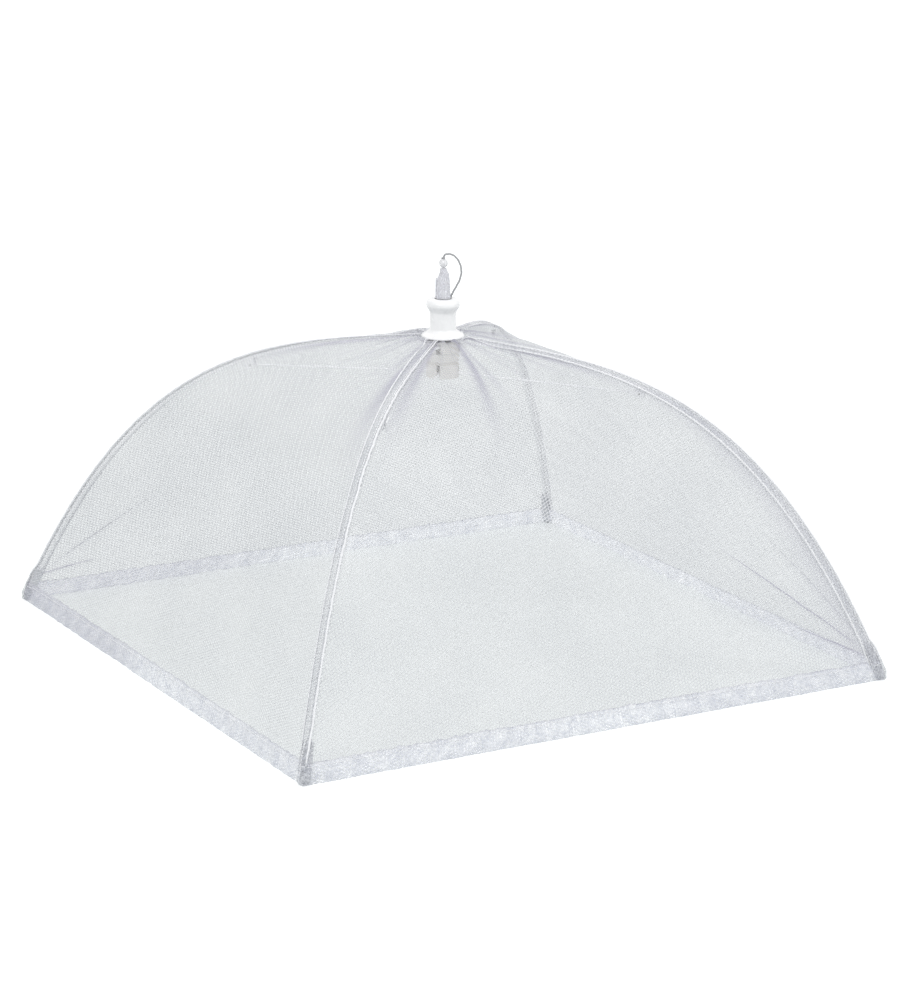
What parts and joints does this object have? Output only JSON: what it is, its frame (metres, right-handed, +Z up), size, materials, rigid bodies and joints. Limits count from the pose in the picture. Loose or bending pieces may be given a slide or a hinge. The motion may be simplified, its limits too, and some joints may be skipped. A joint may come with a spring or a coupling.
{
  "type": "mesh food cover umbrella",
  "caption": "Folding square net cover that stands over food: ribs under a domed net, opened by pulling a rod up through the hub on top.",
  "frame": {"origin": "middle of the square base, on the flat underside of the hem", "axes": "+Z up through the hub and the pull rod, X and Y square to the sides of the base, ribs along the diagonals"},
  "size_m": [0.4326, 0.4326, 0.2678],
  "materials": {
    "hub_plastic": "glossy white moulding",
    "holder_plastic": "plain warm white moulding",
    "rod_plastic": "translucent white moulding",
    "coated_wire": "white coated steel wire",
    "pin_steel": "plain steel wire",
    "clip_steel": "plated sheet steel",
    "cap_plastic": "soft grey moulding",
    "seam_fabric": "white sewn tape of doubled net",
    "net_fabric": "white open hexagonal net",
    "hem_fabric": "white sewn hem of doubled net",
    "cord_fabric": "grey braided cord"
  },
  "bodies": {
    "crown": {"crown_hub": "hub_plastic", "rib_holder": "holder_plastic", "rib_pin_front": "pin_steel", "rib_pin_right": "pin_steel", "rib_pin_back": "pin_steel", "rib_pin_left": "pin_steel", "gore_front_right": "net_fabric", "gore_back_right": "net_fabric", "gore_back_left": "net_fabric", "gore_front_left": "net_fabric", "hem_front_right": "hem_fabric", "hem_back_right": "hem_fabric", "hem_back_left": "hem_fabric", "hem_front_left": "hem_fabric", "pull_cord": "cord_fabric", "cord_bead": "rod_plastic"},
    "runner": {"runner": "holder_plastic", "pull_rod": "rod_plastic"},
    "rib_front": {"rib_front": "coated_wire", "rib_clip_front": "clip_steel", "clip_pin_front": "pin_steel", "corner_cap_front": "cap_plastic", "seam_tape_front": "seam_fabric"},
    "stretcher_front": {"stretcher_front": "coated_wire", "runner_pin_front": "pin_steel"},
    "rib_right": {"rib_right": "coated_wire", "rib_clip_right": "clip_steel", "clip_pin_right": "pin_steel", "corner_cap_right": "cap_plastic", "seam_tape_right": "seam_fabric"},
    "stretcher_right": {"stretcher_right": "coated_wire", "runner_pin_right": "pin_steel"},
    "rib_back": {"rib_back": "coated_wire", "rib_clip_back": "clip_steel", "clip_pin_back": "pin_steel", "corner_cap_back": "cap_plastic", "seam_tape_back": "seam_fabric"},
    "stretcher_back": {"stretcher_back": "coated_wire", "runner_pin_back": "pin_steel"},
    "rib_left": {"rib_left": "coated_wire", "rib_clip_left": "clip_steel", "clip_pin_left": "pin_steel", "corner_cap_left": "cap_plastic", "seam_tape_left": "seam_fabric"},
    "stretcher_left": {"stretcher_left": "coated_wire", "runner_pin_left": "pin_steel"}
  },
  "joints": [
    {"name": "rib_front_fold", "type": "hinge", "parent": "crown", "child": "rib_front", "pos_m": [-0.00636, -0.00636, 0.20583], "axis": [0.7071, -0.7071, 0], "range_deg": [0, 52], "deforming": ["gore_front_right", "gore_back_right", "gore_back_left", "gore_front_left", "hem_front_right", "hem_back_right", "hem_back_left", "hem_front_left"]},
    {"name": "rib_right_fold", "type": "hinge", "parent": "crown", "child": "rib_right", "pos_m": [0.00636, -0.00636, 0.20583], "axis": [0.7071, 0.7071, 0], "range_deg": [0, 52.1]},
    {"name": "rib_back_fold", "type": "hinge", "parent": "crown", "child": "rib_back", "pos_m": [0.00636, 0.00636, 0.20583], "axis": [-0.7071, 0.7071, 0], "range_deg": [0, 52.1]},
    {"name": "rib_left_fold", "type": "hinge", "parent": "crown", "child": "rib_left", "pos_m": [-0.00636, 0.00636, 0.20583], "axis": [-0.7071, -0.7071, 0], "range_deg": [0, 52.1]},
    {"name": "runner_slide", "type": "slide", "parent": "crown", "child": "runner", "axis": [0, 0, -1], "range_m": [0, 0.20599]},
    {"name": "stretcher_front_swing", "type": "hinge", "parent": "rib_front", "child": "stretcher_front", "pos_m": [-0.09521, -0.09521, 0.18222], "axis": [-0.7071, 0.7071, 0], "range_deg": [0, 116.59]},
    {"name": "stretcher_right_swing", "type": "hinge", "parent": "rib_right", "child": "stretcher_right", "pos_m": [0.09521, -0.09521, 0.18222], "axis": [-0.7071, -0.7071, 0], "range_deg": [0, 116.59]},
    {"name": "stretcher_back_swing", "type": "hinge", "parent": "rib_back", "child": "stretcher_back", "pos_m": [0.09521, 0.09521, 0.18222], "axis": [0.7071, -0.7071, 0], "range_deg": [0, 116.59]},
    {"name": "stretcher_left_swing", "type": "hinge", "parent": "rib_left", "child": "stretcher_left", "pos_m": [-0.09521, 0.09521, 0.18222], "axis": [0.7071, 0.7071, 0], "range_deg": [0, 116.59]}
  ],
  "couplings": [
    {"joint": "rib_right_fold", "follows": "rib_front_fold", "ratio": 1},
    {"joint": "rib_back_fold", "follows": "rib_front_fold", "ratio": 1},
    {"joint": "rib_left_fold", "follows": "rib_front_fold", "ratio": 1},
    {"joint": "runner_slide", "follows": "rib_front_fold", "m_per_rad": 0.22675},
    {"joint": "stretcher_front_swing", "follows": "rib_front_fold", "ratio": 2.2382},
    {"joint": "stretcher_right_swing", "follows": "rib_front_fold", "ratio": 2.2382},
    {"joint": "stretcher_back_swing", "follows": "rib_front_fold", "ratio": 2.2382},
    {"joint": "stretcher_left_swing", "follows": "rib_front_fold", "ratio": 2.2382}
  ]
}
